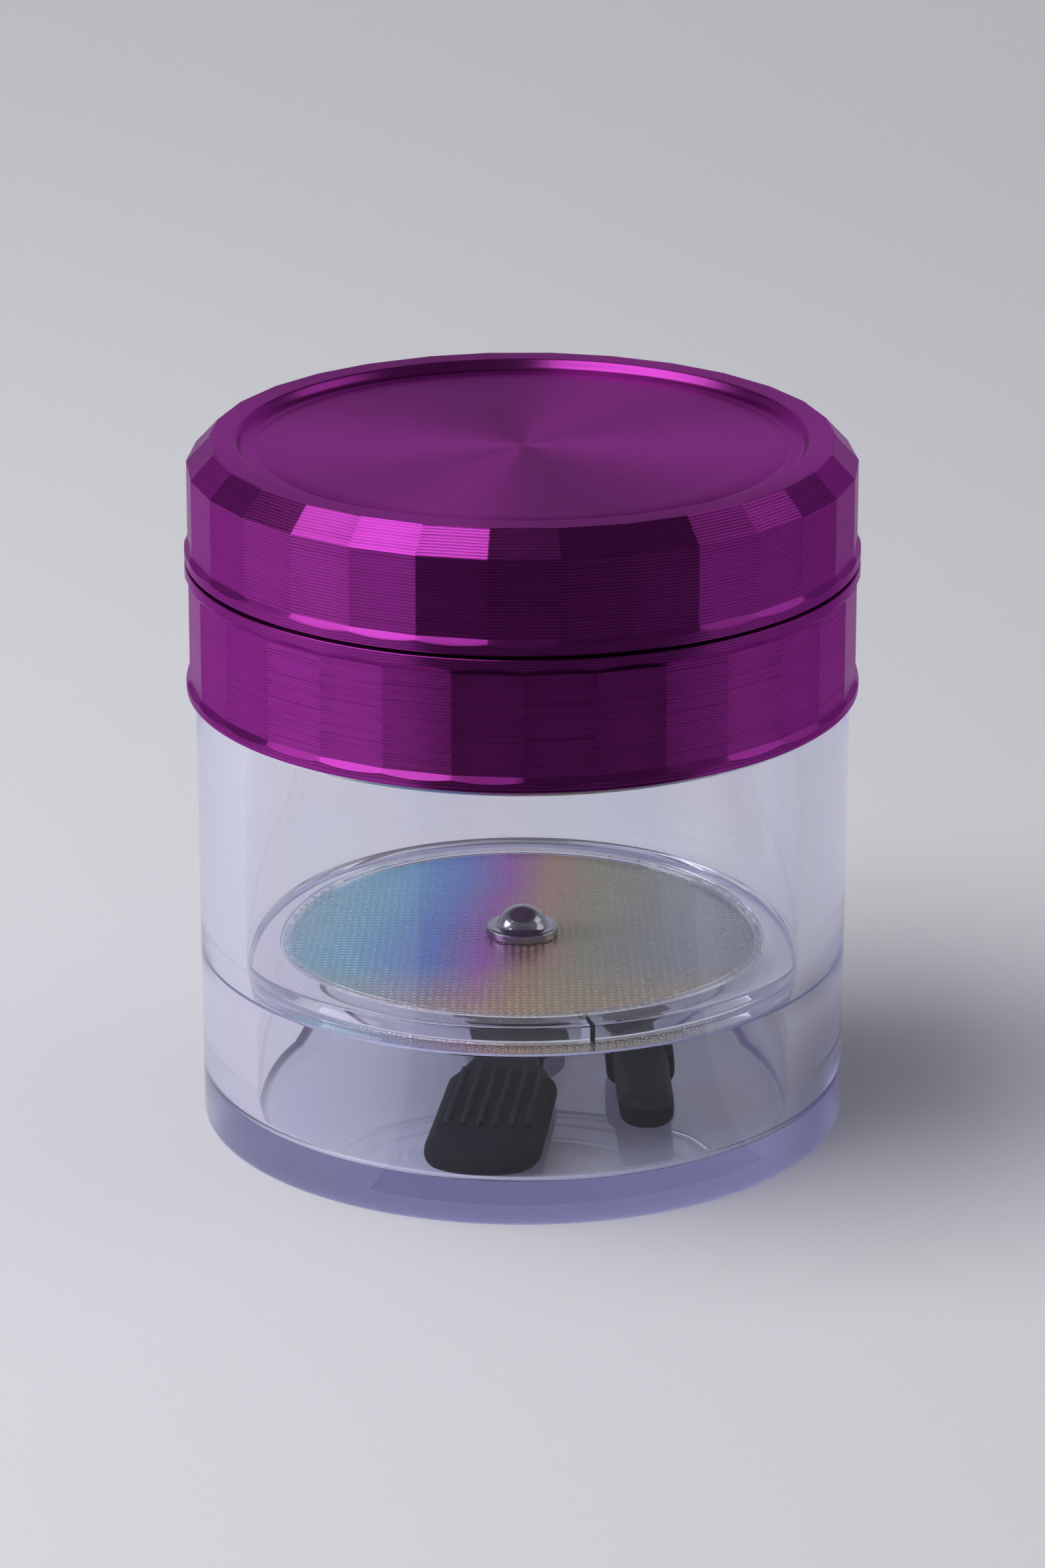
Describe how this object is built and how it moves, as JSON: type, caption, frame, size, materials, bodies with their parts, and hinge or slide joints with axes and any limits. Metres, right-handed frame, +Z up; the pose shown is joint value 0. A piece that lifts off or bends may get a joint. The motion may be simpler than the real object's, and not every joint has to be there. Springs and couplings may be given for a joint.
{
  "type": "twist grinder",
  "caption": "Hand-held twist grinder: faceted aluminium lid and toothed chamber on a clear screw-on jar, with a lift-out screen over a catch space holding a scraper and a brush.",
  "frame": {"origin": "centre of the jar's flat base", "axes": "+Z up along the grinder's turning axis; -Y is the front, +X to the right seen from the front"},
  "size_m": [0.063, 0.063, 0.0665],
  "materials": {
    "anodised_purple": "machined facets, purple anodised, satin with fine turning lines",
    "clear_plastic": "clear moulded, polished",
    "silicone": "pale translucent grey, satin",
    "glide_polymer": "black, satin",
    "nickel": "bright nickel plate",
    "steel_mesh": "fine woven wire with a faint rainbow sheen",
    "tool_plastic": "black moulded, satin",
    "brush_fibre": "dark nylon fibre"
  },
  "bodies": {
    "jar": {"jar": "clear_plastic"},
    "jar_seal": {"jar_seal": "silicone"},
    "chamber": {"grinding_chamber": "anodised_purple", "chamber_tooth_plate": "anodised_purple", "chamber_magnet": "nickel"},
    "glide": {"glide_ring": "glide_polymer"},
    "lid": {"lid": "anodised_purple", "lid_tooth_plate": "anodised_purple", "lid_magnet": "nickel"},
    "screen": {"screen_carrier": "clear_plastic", "screen_mesh": "steel_mesh", "screen_clamp_ring": "clear_plastic", "screen_stud": "nickel", "screen_washer": "nickel", "screen_nut": "nickel"},
    "scraper": {"scraper": "tool_plastic"},
    "brush": {"brush_handle": "tool_plastic", "brush_ferrule": "tool_plastic", "brush_bristles": "brush_fibre"}
  },
  "joints": [
    {"name": "thread_rise", "type": "slide", "parent": "jar", "child": "jar_seal", "axis": [0, 0, 1], "range_m": [0, 0.006]},
    {"name": "chamber_unscrew", "type": "hinge", "parent": "jar_seal", "child": "chamber", "pos_m": [0, 0, 0.0424], "axis": [0, 0, 1], "range_deg": [0, 720]},
    {"name": "lid_lift", "type": "slide", "parent": "chamber", "child": "glide", "axis": [0, 0, 1], "range_m": [0, 0.02]},
    {"name": "lid_turn", "type": "hinge", "parent": "glide", "child": "lid", "pos_m": [0, 0, 0.0553], "axis": [0, 0, 1], "continuous": true},
    {"name": "screen_lift", "type": "slide", "parent": "jar", "child": "screen", "axis": [0, 0, 1], "range_m": [0, 0.028]},
    {"name": "scraper_lift", "type": "slide", "parent": "jar", "child": "scraper", "axis": [0, 0, 1], "range_m": [0, 0.008]},
    {"name": "brush_lift", "type": "slide", "parent": "jar", "child": "brush", "axis": [0, 0, 1], "range_m": [0, 0.007]}
  ],
  "couplings": [
    {"joint": "thread_rise", "follows": "chamber_unscrew", "m_per_rad": 0.00047746}
  ]
}
